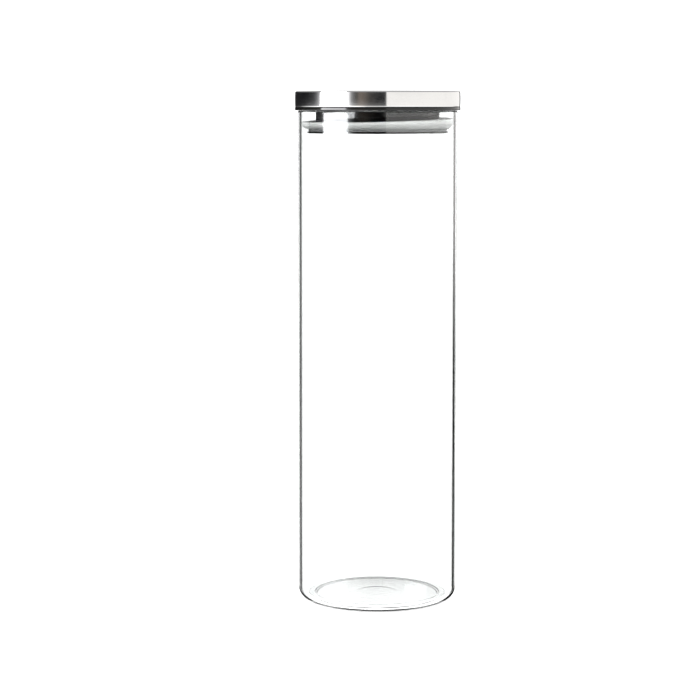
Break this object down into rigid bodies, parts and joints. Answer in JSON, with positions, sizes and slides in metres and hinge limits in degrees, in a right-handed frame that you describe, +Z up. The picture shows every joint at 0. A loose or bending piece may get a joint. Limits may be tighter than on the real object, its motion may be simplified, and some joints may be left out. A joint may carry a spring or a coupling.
{
  "type": "lidded glass canister",
  "caption": "Tall straight-sided clear glass storage canister with a push-in lid: a flat steel cap over a black plug, sealed in the mouth by a soft lip ring.",
  "frame": {"origin": "centre of the jar's foot, on the surface the canister stands on", "axes": "+Z up along the canister's axis, towards the lid; +X and +Y are any two square directions, because the canister is round"},
  "size_m": [0.1036, 0.1036, 0.3206],
  "materials": {
    "clear_glass": "clear, fire-polished",
    "black_plug": "glossy moulded black",
    "black_base": "glossy moulded black",
    "soft_seal": "translucent white silicone, smooth",
    "adhesive_foam": "dull closed-cell foam",
    "steel": "fine spun grain on top, polished side"
  },
  "bodies": {
    "jar": {"glass_jar": "clear_glass"},
    "seal": {"seal_ring": "soft_seal"},
    "lid": {"steel_cap": "steel", "adhesive_pad": "adhesive_foam", "plug_body": "black_plug", "plug_base": "black_base"}
  },
  "joints": [
    {"name": "lid_lift", "type": "slide", "parent": "jar", "child": "seal", "axis": [0, 0, 1], "range_m": [0, 0.12]},
    {"name": "lid_turn", "type": "hinge", "parent": "seal", "child": "lid", "pos_m": [0, 0, 0.298], "axis": [0, 0, 1], "continuous": true}
  ]
}
